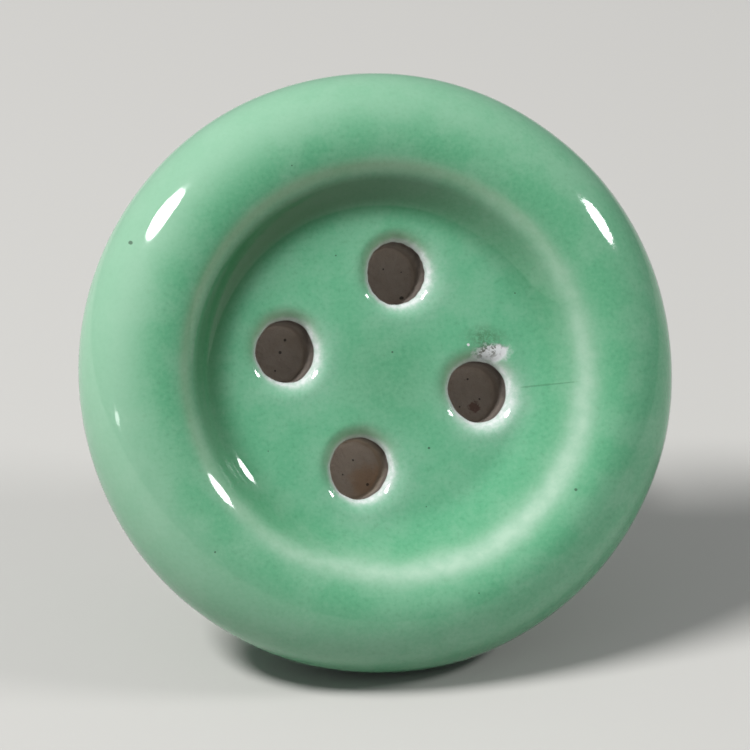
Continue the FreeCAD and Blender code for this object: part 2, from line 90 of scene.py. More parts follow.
# The bolt, washer, nut and cup.
PITCH = 0.7
THREAD_CREST = 2.0
THREAD_ROOT = 1.62
THREAD_GAP = 0.05
BOLT_TIP = -19.0
BOLT_BEVEL = 0.5
TIP_FLAT = 0.8
THREAD_END = 1.5
SHANK_FROM = 2.2
HEAD_SEAT = 6.0
HEAD_TOP = 8.8
DIMPLE_RADIUS = 2.4
DIMPLE_DEPTH = 0.25
FLATS = 7.0
CORNER = 4.0
FACE_RADIUS = 3.8
NUT_FRONT = -13.82
NUT_BACK = -17.02
WASHER_FRONT = -13.0
WASHER_BACK = -13.8
WASHER_RADIUS = 4.5
PLAIN_HOLE = 2.15
CUP_INNER = 9.4
CUP_OUTER = 10.0
CUP_HEIGHT = 3.0
CUP_METAL = 0.6
CUP_CORNER = 0.9
CUP_HOLLOW = 0.25


# ---------------------------------------------------------------- where the knob lies
mounts = {mount["name"]: mount for mount in frame["record"]["mounts"]}
out_axis = -Vector(mounts["seat"]["axis"]).normalized()
across_axis = Vector((1.0, 0.0, 0.0))
up_axis = out_axis.cross(across_axis)
turn = Matrix((across_axis, up_axis, out_axis)).transposed().to_4x4()
KNOB_FRAME = Matrix.Translation(Vector(mounts["bolt"]["pos_m"])) @ turn @ Matrix.Scale(MM, 4)


# ---------------------------------------------------------------- shaping helpers
def smooth_step(value, low, high):
    """0 below low, 1 above high, and an even curve between them."""
    share = np.clip((np.asarray(value, float) - low) / (high - low), 0.0, 1.0)
    return share * share * (3 - 2 * share)


def bell(distance, width):
    """1 where the distance is 0, falling smoothly to nothing past about twice the width."""
    return np.exp(-((distance / width) ** 2))


def even_angles(count):
    """Directions at an even step round a full turn."""
    return np.arange(count) * math.tau / count


def noise_round(angles, scale, seed):
    """Smooth noise that closes on itself round the knob's axis."""
    return np.array(
        [noise.noise(Vector((scale * math.cos(a), scale * math.sin(a), seed))) for a in angles]
    )


def resample(points, step):
    """Points at an even step along a line of (radius, height) points."""
    points = np.asarray(points, float)
    lengths = np.hypot(*np.diff(points, axis=0).T)
    along = np.concatenate([[0.0], np.cumsum(lengths)])
    count = max(2, int(round(along[-1] / step)) + 1)
    wanted = np.linspace(0.0, along[-1], count)
    columns = [np.interp(wanted, along, points[:, k]) for k in range(2)]
    return np.stack(columns, axis=1)


def soften(points, reach):
    """The line with its corners rounded; reach is the rounding's size at each point."""
    lengths = np.hypot(*np.diff(points, axis=0).T)
    along = np.concatenate([[0.0], np.cumsum(lengths)])
    away = (along[:, None] - along[None, :]) / reach[:, None]
    weight = np.exp(-0.5 * away**2)
    weight /= weight.sum(axis=1, keepdims=True)
    return weight @ points


def line_normals(points):
    """Unit normals of a line of (radius, height) points, to the left of its direction."""
    tangent = np.gradient(points, axis=0)
    tangent /= np.hypot(*tangent.T)[:, None]
    return np.stack([-tangent[:, 1], tangent[:, 0]], axis=1)


def spaced_rows(line, turn_degrees, reach):
    """Which points of a line to keep: closer together where it turns, at most reach apart."""
    tangent = np.gradient(line, axis=0)
    heading = np.unwrap(np.arctan2(tangent[:, 1], tangent[:, 0]))
    steps = np.hypot(*np.diff(line, axis=0).T) / reach
    steps += np.abs(np.diff(heading)) / math.radians(turn_degrees)
    passed = np.floor(np.concatenate([[0.0], np.cumsum(steps)]))
    kept = [0] + [k for k in range(1, len(line)) if passed[k] > passed[k - 1]]
    if kept[-1] != len(line) - 1:
        kept.append(len(line) - 1)
    return kept


def round_ring(radius, height, angles):
    """One ring about the knob's axis; radius and height are numbers or one value per angle."""
    full = np.ones_like(angles)
    return np.stack([radius * np.cos(angles), radius * np.sin(angles), height * full], axis=1)


def stack(rings, closed=False):
    """Quads between rings of equal length. closed also joins the last ring to the first."""
    rings = np.asarray(rings, float)
    count, around = rings.shape[:2]
    row = np.arange(count if closed else count - 1)[:, None]
    column = np.arange(around)[None, :]
    nearer, further = row * around, ((row + 1) % count) * around
    after = (column + 1) % around
    faces = np.stack(
        [nearer + column, nearer + after, further + after, further + column], axis=2
    )
    return rings.reshape(-1, 3), faces.reshape(-1, 4)


# Vertices closer than this are one vertex.
SAME_POINT = 0.0005


def make_piece(name, parts, sharp_degrees=35.0, warped=False):
    """A mesh object in the row frame. Its "knob" attribute holds each point's own-frame place."""
    vertices, faces, first = [], [], 0
    for points, quads in parts:
        vertices.append(points)
        faces.extend((quads + first).tolist())
        first += len(points)
    places = np.concatenate(vertices).tolist()
    if warped:
        places = [warp(place) for place in places]
    mesh = bpy.data.meshes.new(name)
    mesh.from_pydata(places, [], faces)
    editor = bmesh.new()
    editor.from_mesh(mesh)
    bmesh.ops.remove_doubles(editor, verts=editor.verts, dist=SAME_POINT)
    bmesh.ops.recalc_face_normals(editor, faces=editor.faces)
    editor.to_mesh(mesh)
    editor.free()
    mesh.update()
    merged = np.zeros(len(mesh.vertices) * 3, np.float32)
    mesh.vertices.foreach_get("co", merged)
    attribute = mesh.attributes.new("knob", "FLOAT_VECTOR", "POINT")
    attribute.data.foreach_set("vector", merged)
    mesh.transform(KNOB_FRAME)
    mesh.shade_smooth()
    mesh.set_sharp_from_angle(angle=math.radians(sharp_degrees))
    piece = bpy.data.objects.new(name, mesh)
    bpy.context.scene.collection.objects.link(piece)
    return piece


def knob_places(piece):
    """Where each vertex of a piece lies in the knob's own frame."""
    places = np.zeros(len(piece.data.vertices) * 3, np.float32)
    piece.data.attributes["knob"].data.foreach_get("vector", places)
    return places.reshape(-1, 3).astype(float)


def add_mask(piece, name, values):
    """A shading mask, one number per vertex."""
    attribute = piece.data.attributes.new(name, "FLOAT", "POINT")
    attribute.data.foreach_set("value", np.asarray(values, np.float32))


# ---------------------------------------------------------------- the head's outline
OUTLINE_STEP = 0.06
# The dish floor dips a little towards its middle, inside this radius.
FLOOR_DIP = 0.05
DIP_RADIUS = 9.0
# How much the outline's corners are rounded: all of them, and three of them more. The pairs say
# where that comes in or fades out: radii at the dish, and heights, made negative, at the neck.
ROUND_ALL = 0.25
ROUND_DISH, DISH_CORNER, DISH_CORNER_END = 0.50, (8.5, 10.0), (12.2, 12.8)
ROUND_LIP, LIP_WIDTH = 0.30, 0.8
ROUND_NECK, NECK_CORNER, NECK_CORNER_RADIUS = 1.35, (-10.0, -7.0), 15.0


def head_outline():
    """The glazed surface from the middle of the dish, over the rim and down to the foot. Its
    corners are rounded: a little everywhere, and more at the dish, its lip and the neck."""
    edge_angle = math.atan2(DISH_EDGE - WIDEST, DISH_EDGE_RADIUS - RIM_CENTRE)
    leave_angle = UNDERSIDE_SLOPE - math.pi / 2
    rim = [
        (RIM_CENTRE + RIM_ROUND * math.cos(a), WIDEST + RIM_ROUND * math.sin(a))
        for a in np.linspace(edge_angle, leave_angle, 90)
    ]
    corners = [(0.0, DISH_FLOOR), (DISH_FLOOR_RADIUS, DISH_FLOOR)] + rim
    corners += [(NECK_RADIUS, NECK_TOP), (FOOT_RADIUS, FOOT_BOTTOM)]
    points = resample(corners, OUTLINE_STEP)
    radius, height = points.T
    reach = np.full(len(points), ROUND_ALL)
    at_dish = smooth_step(radius, *DISH_CORNER) * (1 - smooth_step(radius, *DISH_CORNER_END))
    reach += ROUND_DISH * at_dish
    reach += ROUND_LIP * (bell(radius - DISH_EDGE_RADIUS, LIP_WIDTH) * (height > WIDEST))
    behind = (height < WIDEST) & (radius < NECK_CORNER_RADIUS)
    reach += ROUND_NECK * behind * smooth_step(-height, *NECK_CORNER)
    keep = soften(points, reach)
    keep[0] = (0.0, keep[0][1])
    on_face = height > DISH_FLOOR - 0.01
    keep[:, 1] -= FLOOR_DIP * on_face * (1 - smooth_step(radius, 0.0, DIP_RADIUS))
    return keep


outline = head_outline()
outline_normals = line_normals(outline)
dish_line = outline[: int(np.argmax(outline[:, 0] > RIM_CENTRE + 1))]
# The outline's first half is the face side. The shell about the four floor quarters starts where
# they end.
outline_half = len(outline) // 2
shell_start = int(np.argmax(outline[:, 0] >= SECTOR_RADIUS))

# The gentler side of the dish: a straight rise with rounded ends, from its floor to its rim.
GENTLE_FROM_HEIGHT = 13.0
GENTLE_INNER, GENTLE_OUTER = 9.3, 15.9
GENTLE_DIRECTION = math.radians(-38.0)
GENTLE_SPREAD = math.radians(62.0)
EASE = 0.2


def gentle_line():
    """Radius and height along the gentler side."""
    ends = np.interp((GENTLE_INNER, GENTLE_OUTER), dish_line[:, 0], dish_line[:, 1])
    share = np.linspace(0.0, 1.0, 101)
    slope = np.minimum(np.minimum(share, 1 - share) / EASE, 1.0)
    rise = np.concatenate([[0.0], np.cumsum((slope[1:] + slope[:-1]) / 2)])
    rise /= rise[-1]
    radius = GENTLE_INNER + share * (GENTLE_OUTER - GENTLE_INNER)
    return radius, ends[0] + rise * (ends[1] - ends[0])


GENTLE_LINE = gentle_line()

# The head is true up to the first height, and as uneven as it gets from the second one.
UNEVEN_FROM, UNEVEN_FULLY = 6.0, 10.0
UNEVEN = 0.07
UNEVEN_SCALE = 0.11
UNEVEN_OFFSET = Vector((3.1, 7.7, 1.3))


def warp(point):
    """The unevenness of a hand-made head, the same for the glaze and the clay under it: the dish
    rises more gently on its lower right side, and no surface is quite true."""
    share = float(smooth_step(point[2], UNEVEN_FROM, UNEVEN_FULLY))
    if share == 0.0:
        return point
    radius = math.hypot(point[0], point[1])
    if point[2] > GENTLE_FROM_HEIGHT and GENTLE_INNER < radius < GENTLE_OUTER:
        off = math.remainder(math.atan2(point[1], point[0]) - GENTLE_DIRECTION, math.tau)
        gentle = np.interp(radius, GENTLE_LINE[0], GENTLE_LINE[1])
        steep = np.interp(radius, dish_line[:, 0], dish_line[:, 1])
        point[2] += math.exp(-((off / GENTLE_SPREAD) ** 2)) * float(gentle - steep)
    shift = noise.noise_vector(Vector(point) * UNEVEN_SCALE + UNEVEN_OFFSET)
    return [c + UNEVEN * share * s for c, s in zip(point, shift)]


def dish_height(radius):
    """Height of the glazed floor of the dish."""
    return np.interp(radius, dish_line[:, 0], dish_line[:, 1])


# Each hole's departure from round, as waves of (waves round the edge, size, where one peaks). One
# wave round the edge moves the hole sideways.
HOLE_WAVES = (
    ((1, 0.090, 2.7), (2, 0.030, 1.5), (3, 0.015, 2.0), (7, 0.006, 0.7), (19, 0.006, 1.0)),
    ((1, 0.040, -0.7), (2, 0.030, -1.2), (3, 0.018, -1.5), (9, 0.006, 0.3)),
    ((1, 0.105, 2.8), (2, 0.020, 1.3), (3, 0.012, 0.1), (8, 0.006, 2.2), (13, 0.004, 0.0)),
    ((1, 0.060, 0.3), (2, 0.025, 1.6), (3, 0.016, 1.1), (6, 0.008, 0.9), (10, 0.005, 2.0)),
)


def hole_edge(number, angle):
    """How far a hole's edge departs from round, as a share of its radius."""
    return sum(size * np.cos(waves * (angle - peak)) for waves, size, peak in HOLE_WAVES[number])


# Points along each straight side and along the arc of a floor quarter.
EDGE_POINTS = 56
ARC_POINTS = 96
AROUND = HOLE_COUNT * ARC_POINTS


def hole_angle(number):
    """The direction of a hole from the knob's axis. Hole 0 is the top one, then clockwise."""
    return HOLE_TOP_ANGLE - number * math.tau / HOLE_COUNT


def hole_centre(number):
    """A hole's centre in the plane of the face."""
    angle = hole_angle(number)
    return np.array([HOLE_CIRCLE * math.cos(angle), HOLE_CIRCLE * math.sin(angle)])


# A hole's uneven edge fades to round between these radii.
UNEVEN_EDGE = (2.1, 3.2)


def floor_sector(number, rings):
    """A quarter of the dish floor about one hole. Each ring is (radius, share, depth): radius
    about the hole, share of the way out to the quarter's edge, depth under the floor."""
    half = math.pi / HOLE_COUNT
    middle = hole_angle(number)
    shares = np.linspace(0.0, 1.0, EDGE_POINTS + 1)
    arc = np.linspace(middle - half, middle + half, ARC_POINTS + 1)
    corner_one = np.array([math.cos(arc[0]), math.sin(arc[0])]) * SECTOR_RADIUS
    corner_two = np.array([math.cos(arc[-1]), math.sin(arc[-1])]) * SECTOR_RADIUS
    border = [corner_one * share for share in shares[:-1]]
    border += [np.array([math.cos(a), math.sin(a)]) * SECTOR_RADIUS for a in arc[:-1]]
    border += [corner_two * share for share in shares[:0:-1]]
    border = np.array(border)
    centre = hole_centre(number)
    outward = border - centre
    distance = np.hypot(*outward.T)
    outward /= distance[:, None]
    angle = np.arctan2(outward[:, 1], outward[:, 0])
    uneven = hole_edge(number, angle)
    made = []
    for radius, share, depth in rings:
        fading = 1 - smooth_step(radius, *UNEVEN_EDGE)
        around_hole = radius * (1 + uneven * fading)
        reach = around_hole * (1 - share) + distance * share
        flat = centre + outward * reach[:, None]
        from_axis = np.hypot(*flat.T)
        height = dish_height(from_axis) - depth
        made.append(np.column_stack([flat, height]))
    return made


def blend_rings(depth, count):
    """Rings from a hole's mouth out to the quarter's edge."""
    return [(MOUTH_RADIUS, share, depth) for share in np.linspace(0.0, 1.0, count + 1)]


# ---------------------------------------------------------------- glaze
# The directions round the knob that both shells share, starting where the floor quarters meet.
turns = hole_angle(0) - math.pi / HOLE_COUNT + even_angles(AROUND)

# How far the glaze line wanders up and down the foot, over what height that fades out, and how the
# foot narrows as it rises.
LINE_WANDER = 0.22
LINE_FADE = 1.6
FOOT_TAPER = 0.24
# The coat's edge on the foot: the length over which it thins to nothing, and the bead above it.
EDGE_LENGTH = 0.4
BEAD, BEAD_PLACE, BEAD_WIDTH, BEAD_END = 0.07, 0.45, 0.25, 1.5
# Rows of the outside and the inside: degrees of turn and millimetres from one to the next.
OUTSIDE_ROWS = (6.6, 0.45)
INSIDE_ROWS = (15.0, 1.2)
# How much the coat's inner side widens from a hole's edge outward, under its mouth.
UNDER_WIDENS = 0.98


def waved(rings):
    """Rings near the glaze line, moved up and down the foot a little as they go round."""
    wave = noise_round(turns, scale=2.2, seed=5.0)
    moved = []
    for ring in rings:
        ring = ring.copy()
        radius = np.hypot(ring[:, 0], ring[:, 1])
        share = 1 - smooth_step(ring[:, 2], GLAZE_LINE, GLAZE_LINE + LINE_FADE)
        share *= radius < FOOT_RADIUS + 1
        shift = LINE_WANDER * wave * share
        spread = 1 - FOOT_TAPER * shift / radius
        ring[:, 0] *= spread
        ring[:, 1] *= spread
        ring[:, 2] += shift
        moved.append(ring)
    return moved


def glaze_piece():
    """The coat of glaze: a closed shell that ends at the hole edges and on the foot."""
    below_line = (np.arange(len(outline)) > outline_half) & (outline[:, 1] < GLAZE_LINE)
    stop = int(np.argmax(below_line))
    line = outline[shell_start:stop]
    normal = outline_normals[shell_start:stop]
    line[0] = (SECTOR_RADIUS, dish_height(SECTOR_RADIUS))
    inside = line - GLAZE * normal
    inside[0] = (SECTOR_RADIUS, dish_height(SECTOR_RADIUS) - GLAZE)
    lengths = np.hypot(*np.diff(line, axis=0).T)
    left = np.concatenate([np.cumsum(lengths[::-1])[::-1], [0.0]])
    inward = np.clip(left / EDGE_LENGTH, 0.0, 1.0)
    thickness = GLAZE * np.sqrt(1 - (1 - inward) ** 2)
    thickness += BEAD * bell(left - BEAD_PLACE, BEAD_WIDTH) * np.sqrt(inward)
    outside = np.where(left[:, None] > BEAD_END, line, inside + thickness[:, None] * normal)
    outside[0] = line[0]
    top_rows = spaced_rows(outside, *OUTSIDE_ROWS)
    under_rows = spaced_rows(inside, *INSIDE_ROWS)[::-1]
    rings = [round_ring(outside[k, 0], outside[k, 1], turns) for k in top_rows]
    rings += [round_ring(inside[k, 0], inside[k, 1], turns) for k in under_rows]
    parts = [stack(waved(rings))]
    swing = np.linspace(0.0, math.pi / 2, 15)
    mouth_width = MOUTH_RADIUS - HOLE_RADIUS
    mouth = [
        (MOUTH_RADIUS - mouth_width * math.sin(a), 0.0, MOUTH_DEPTH * (1 - math.cos(a)))
        for a in swing
    ]
    under_mouth = [
        (HOLE_RADIUS + 0.02 + UNDER_WIDENS * share, 0.0, GLAZE + MOUTH_DROP * (1 - share) ** 1.3)
        for share in np.linspace(0.0, 1.0, 6)
    ]
    for number in range(HOLE_COUNT):
        rows = floor_sector(number, blend_rings(0.0, 17)[::-1] + mouth[1:])
        rows += floor_sector(number, under_mouth + blend_rings(GLAZE, 6)[1:])
        parts.append(stack(rows))
    return make_piece("glaze_coat_look", parts, sharp_degrees=60.0, warped=True)


# Degrees of turn and millimetres from one row to the next.
CLAY_ROWS = (8.0, 0.5)
# A hole's wall starts this far under the dish floor, and narrows a little from row to row.
WALL_FROM = 1.1
WALL_COUNT = 15
WALL_NARROWS = 0.015
# How rough the clay is in the holes: a share of the radius on the wall, millimetres at the bottom.
COARSE, FINE = 1.9, 5.0
WALL_GRAIN = 0.025
BOTTOM_GRAIN = 0.11


def roughen(rows, centre):
    """Makes a hole's wall rows and bottom rows gritty. The last row is the bottom's middle."""
    for k, row in enumerate(rows[:-1]):
        for point in row:
            grain = noise.noise(Vector(point) * COARSE) + 0.5 * noise.noise(Vector(point) * FINE)
            if k < WALL_COUNT:
                point[:2] += (point[:2] - centre) * WALL_GRAIN * grain
            else:
                point[2] += BOTTOM_GRAIN * grain
    rows[-1][:, 2] = rows[-2][:, 2].mean()


def clay_piece():
    """The fired clay: hole walls and bottoms, the bare foot and the socket in it."""
    line = (outline - CLAY_INSET * outline_normals)[shell_start:]
    line[0] = (SECTOR_RADIUS, dish_height(SECTOR_RADIUS) - CLAY_INSET)
    face_side = np.arange(len(line)) < outline_half - shell_start
    above_foot = line[face_side | (line[:, 1] > FOOT_BOTTOM + 0.3)]
    foot_edge = FOOT_RADIUS - CLAY_INSET
    # The foot's rounded edge, the ring that it stands on, and the socket in it.
    rows = [above_foot[k] for k in spaced_rows(above_foot, *CLAY_ROWS)] + [
        (foot_edge - 0.02, FOOT_BOTTOM + 0.25),
        (foot_edge - 0.08, FOOT_BOTTOM + 0.08),
        (foot_edge - 0.25, FOOT_BOTTOM),
        (foot_edge - 1.6, FOOT_BOTTOM),
        (foot_edge - 2.8, FOOT_BOTTOM),
        (SOCKET_RADIUS + 0.15, FOOT_BOTTOM),
        (SOCKET_RADIUS, FOOT_BOTTOM + 0.15),
        (SOCKET_RADIUS, SOCKET_TOP),
        (0.0, SOCKET_TOP),
    ]
    rings = [round_ring(radius, height, turns) for radius, height in rows]
    parts = [stack(rings)]
    wall_radius = HOLE_RADIUS + WALL_GAP
    bevel = [
        (wall_radius + 0.9 * share, 0.0, CLAY_INSET + MOUTH_DROP * (1 - share) ** 1.3)
        for share in np.linspace(1.0, 0.0, 6)
    ]
    deep = DISH_FLOOR - HOLE_BOTTOM
    wall_height = deep - WALL_FROM - BOTTOM_ROUND
    wall = [
        (wall_radius - WALL_NARROWS * k, 0.0, WALL_FROM + k * wall_height / (WALL_COUNT - 1))
        for k in range(WALL_COUNT)
    ]
    turn_in = [
        (BOTTOM_FLAT + TURN_WIDTH * math.cos(a), 0.0, deep - BOTTOM_ROUND * (1 - math.sin(a)))
        for a in np.linspace(0.0, math.pi / 2, 6)[1:]
    ]
    bottom = [(radius, 0.0, deep) for radius in np.linspace(1.3, 0.1, 13)] + [(0.0, 0.0, deep)]
    mouth = blend_rings(CLAY_INSET, 6)[::-1] + bevel
    for number in range(HOLE_COUNT):
        rows = floor_sector(number, mouth + wall + turn_in + bottom)
        roughen(rows[len(mouth):], hole_centre(number))
        parts.append(stack(rows))
    return make_piece("clay_look", parts, sharp_degrees=50.0, warped=True)


# ---------------------------------------------------------------- metal pieces
# Shares of half a pitch: the flat at the thread's root, and the flank beside it.
ROOT_FLAT, FLANK = 0.14, 0.72
# Rows for each pitch of thread.
THREAD_ROWS = 16
BEVEL_SLOPE = math.tan(math.radians(30))


def thread_radius(height, angle, crest, root):
    """Radius of a right-hand thread at each height and angle."""
    phase = np.mod(height / PITCH - angle / math.tau, 1.0)
    rise = np.clip((np.abs(2 * phase - 1) - ROOT_FLAT) / FLANK, 0.0, 1.0)
    return root + (crest - root) * rise


def hex_radius(angles):
    """Radius of a hexagon with corners at 0, 60, ... degrees, its corners blunted."""
    sixth = math.pi / 3
    within = np.mod(angles, sixth) - sixth / 2
    return np.minimum(FLATS / 2 / np.cos(within), CORNER)


def hex_rings(back, front, angles):
    """The outside of a hexagon whose corners are bevelled at both ends."""
    rings = []
    bevel = (CORNER - FACE_RADIUS) * BEVEL_SLOPE
    steps = np.linspace(0.0, 1.25 * bevel, 7)
    heights = [back + s for s in steps] + [front - s for s in steps[::-1]]
    for height in heights:
        to_end = min(height - back, front - height)
        cone = FACE_RADIUS + to_end / BEVEL_SLOPE
        rings.append(round_ring(np.minimum(hex_radius(angles), cone), height, angles))
    return rings


def bolt_piece():
    """The M4 bolt with its helical thread, and its head inside the cement."""
    angles = even_angles(64)
    rings = [round_ring(0.0, BOLT_TIP, angles), round_ring(TIP_FLAT, BOLT_TIP, angles)]
    for height in np.arange(BOLT_TIP, THREAD_END, PITCH / THREAD_ROWS):
        bevel = THREAD_CREST - BOLT_BEVEL + (height - BOLT_TIP)
        radius = thread_radius(height, angles, THREAD_CREST, THREAD_ROOT)
        rings.append(round_ring(np.minimum(radius, bevel), height, angles))
    rings.append(round_ring(THREAD_CREST, SHANK_FROM, angles))
    rings.append(round_ring(THREAD_CREST, HEAD_SEAT, angles))
    rings.append(round_ring(FACE_RADIUS - 0.4, HEAD_SEAT, angles))
    rings += hex_rings(HEAD_SEAT, HEAD_TOP, angles)
    rings.append(round_ring(DIMPLE_RADIUS, HEAD_TOP, angles))
    rings.append(round_ring(DIMPLE_RADIUS - 0.4, HEAD_TOP - DIMPLE_DEPTH, angles))
    rings.append(round_ring(0.0, HEAD_TOP - DIMPLE_DEPTH, angles))
    return make_piece("anchor_bolt_look", [stack(rings)])


# The nut's bore opens to this radius at both ends.
NUT_MOUTH = 2.3
NUT_ROWS = 80


def nut_piece():
    """The M4 nut, with a thread of its own that meshes with the bolt's."""
    angles = even_angles(96)
    outside = hex_rings(NUT_BACK, NUT_FRONT, angles)
    inside = []
    crest, root = THREAD_CREST + THREAD_GAP, THREAD_ROOT + THREAD_GAP
    for height in np.linspace(NUT_FRONT, NUT_BACK, NUT_ROWS):
        radius = thread_radius(height, angles, crest, root)
        to_end = min(height - NUT_BACK, NUT_FRONT - height)
        inside.append(round_ring(np.maximum(radius, NUT_MOUTH - to_end), height, angles))
    back = [round_ring(3.0, NUT_BACK, angles)]
    front = [round_ring(3.0, NUT_FRONT, angles)]
    return make_piece("hex_nut_look", [stack(outside + front + inside + back, closed=True)])


def turned_piece(name, rows, around=128):
    """A ring turned from a closed outline of (radius, height) points."""
    angles = even_angles(around)
    rings = [round_ring(radius, height, angles) for radius, height in rows]
    return make_piece(name, [stack(rings, closed=True)])


def corner_rows(centre, radius, first, last, count=7):
    """Points of a rounded corner, in an outline; angles in degrees."""
    swing = np.radians(np.linspace(first, last, count))
    return [
        (centre[0] + radius * math.cos(a), centre[1] + radius * math.sin(a)) for a in swing
    ]


def washer_piece():
    """A punched washer: one face rounded at its edges, the other with a small burr."""
    edge, burr, middle = 0.14, 0.06, 3.3
    rows = corner_rows((WASHER_RADIUS - edge, WASHER_FRONT - edge), edge, 90, 0)
    rows += corner_rows((WASHER_RADIUS - burr, WASHER_BACK + burr), burr, 0, -90, 4)
    rows += [(middle, WASHER_BACK)]
    rows += corner_rows((PLAIN_HOLE + burr, WASHER_BACK + burr), burr, -90, -180, 4)
    rows += corner_rows((PLAIN_HOLE + edge, WASHER_FRONT - edge), edge, 180, 90)
    rows += [(middle, WASHER_FRONT)]
    return turned_piece("flat_washer_look", rows)


def cup_piece():
    """The pressed cup: rounded outer corner, hollow inner corner, softened lip and hole."""
    lip, hole_front, hole_back, middle = CUP_METAL / 2 - 0.02, 0.15, 0.08, 6.0
    hollow = (CUP_INNER - CUP_HOLLOW, CUP_METAL + CUP_HOLLOW)
    rows = corner_rows((CUP_OUTER - CUP_CORNER, CUP_CORNER), CUP_CORNER, -90, 0, 12)
    rows += corner_rows((CUP_OUTER - lip, CUP_HEIGHT - lip), lip, 0, 90)
    rows += corner_rows((CUP_INNER + lip, CUP_HEIGHT - lip), lip, 90, 180)
    rows += corner_rows(hollow, CUP_HOLLOW, 0, -90)
    rows += [(middle, CUP_METAL)]
    rows += corner_rows((PLAIN_HOLE + hole_front, CUP_METAL - hole_front), hole_front, 90, 180, 5)
    rows += corner_rows((PLAIN_HOLE + hole_back, hole_back), hole_back, 180, 270, 4)
    rows += [(middle, 0.0)]
    return turned_piece("base_cup_look", rows, around=192)


# ---------------------------------------------------------------- shading masks of the glaze
# Directions are in degrees round the face from its right, towards its top.
UPPER_LEFT, LEFT, LOWER_RIGHT, ABOVE = 125, 150, -48, 105
# Above this height a point is on the face.
FACE_FROM = 15.2
# The ridge round the dish, where the glaze ran thin: a narrow crest on a broader one, with painted
# light making it paler on its lower right, which faces the upper left lamp.
RIDGE_RADIUS, RIDGE_WANDER = 13.45, 0.30
NARROW_CREST, BROAD_CREST = 0.6, 0.4
BROAD_WIDTH = 1.2
# The brown line along the ridge's upper left: thin glaze with painted shade, where the ridge faces
# away from the lamp.
BROWN_RADIUS, BROWN_WIDTH, BROWN_SHARE = 13.5, 0.42, 0.32
# The wall of the dish and the edge of the rim, painted darker as shade on the sides away from the
# upper left; the rim's paler left side, painted light.
WALL_BEGINS, WALL_ENDS = (9.6, 11.6), (12.5, 13.4)
EDGE_BEGINS = (18.0, 19.6)
DISH_WALL_SHADE, RIM_EDGE_SHADE = 0.92, 0.24
RIM_BEGINS, RIM_HEIGHTS = (14.6, 18.2), (10.0, 15.0)
# How far the thin glaze reaches from each hole's edge, against the usual.
MOUTH_WIDTHS = (0.85, 1.25, 0.75, 0.85)
# Widths from a hole's edge of its sharp white line, its white glow and its brown halo.
EDGE_LINE_WIDTH, WHITE_WIDTH, HALO_WIDTH = 0.22, 1.5, 0.62
MOST_WHITE = 0.95


def on_side(direction, degrees):
    """1 on this side of the face, and 0 on the opposite one."""
    return 0.5 + 0.5 * np.cos(direction - math.radians(degrees))


def mouth_and_halo(across, up, number):
    """How white the thin glaze is round one hole, with painted light making it wider and whiter on
    the lower right, and how brown just past its edge, with painted shade at the top.
    """
    centre = hole_centre(number)
    spoke_x, spoke_y = across - centre[0], up - centre[1]
    bearing = np.arctan2(spoke_y, spoke_x)
    edge_radius = HOLE_RADIUS * (1 + hole_edge(number, bearing))
    past_edge = np.maximum(np.hypot(spoke_x, spoke_y) - edge_radius, 0.0)
    # Painted light: the white is wider and stronger towards the lower right.
    lower_right = on_side(bearing, LOWER_RIGHT)
    width = (0.20 + 0.36 * lower_right) * MOUTH_WIDTHS[number]
    white = 0.74 * bell(past_edge, width)
    white += 0.26 * bell(past_edge, WHITE_WIDTH) * (0.3 + 0.7 * lower_right)
    white = white * (0.30 + 0.70 * lower_right) + 0.50 * bell(past_edge, EDGE_LINE_WIDTH)
    # Painted shade: the brown falls at the top of the hole, on thin glaze.
    brown = bell(past_edge, HALO_WIDTH)
    brown *= 0.50 * on_side(bearing, ABOVE) ** 2
    return np.minimum(white, MOST_WHITE), brown


def add_glaze_masks(glaze):
    """Where the glaze is thin, pale or brown, and where painted light and painted shade fall, by
    where each vertex lies on the head.
    """
    across, up, height = knob_places(glaze).T
    radius = np.hypot(across, up)
    direction = np.arctan2(up, across)
    to_upper_left = on_side(direction, UPPER_LEFT)
    front = height > FACE_FROM
    add_mask(glaze, "face", front)

    from_ridge = radius - RIDGE_RADIUS - RIDGE_WANDER * noise_round(direction, scale=2.5, seed=9.0)
    narrow_width = 0.34 + 0.44 * (1 - to_upper_left)
    ridge = NARROW_CREST * bell(from_ridge, narrow_width)
    ridge += BROAD_CREST * bell(from_ridge, BROAD_WIDTH)
    # Painted light: the thin glaze paler on the lower right, where the ridge faces the upper left
    # lamp.
    thin_and_lit_share = 0.60 * (1 - to_upper_left) ** 1.5 + 0.10
    add_mask(glaze, "thin_and_lit", ridge * front * thin_and_lit_share)

    # Painted shade: the dish wall darker on its upper left, and the rim's outer edge darker on the
    # side away from the upper left.
    wall = smooth_step(radius, *WALL_BEGINS) * (1 - smooth_step(radius, *WALL_ENDS))
    edge = smooth_step(radius, *EDGE_BEGINS) * (1 - to_upper_left)
    painted_shade = wall * front * DISH_WALL_SHADE * to_upper_left**1.5 + RIM_EDGE_SHADE * edge
    add_mask(glaze, "painted_shade", painted_shade)

    # Painted light: the top of the rim paler on its left side, towards the key lamp.
    lit_rim_top = smooth_step(radius, *RIM_BEGINS) * smooth_step(height, *RIM_HEIGHTS)
    add_mask(glaze, "rim", lit_rim_top * (0.08 + 0.66 * on_side(direction, LEFT) ** 1.3))

    mouth = np.zeros(len(radius))
    # Painted shade: thin glaze turned brown along the ridge's upper left and at the top of each
    # hole.
    brown_line = bell(radius - BROWN_RADIUS, BROWN_WIDTH) * front * to_upper_left**1.5
    halo = BROWN_SHARE * brown_line
    for number in range(HOLE_COUNT):
        white, brown = mouth_and_halo(across, up, number)
        mouth = np.maximum(mouth, white * front)
        halo = np.maximum(halo, brown * front)
    add_mask(glaze, "mouth", mouth)
    add_mask(glaze, "halo", halo)


# ---------------------------------------------------------------- materials
# Lengths across the face count in full for a spot, and lengths along the knob's axis a tenth.
FLAT = (1.0, 1.0, 0.1)


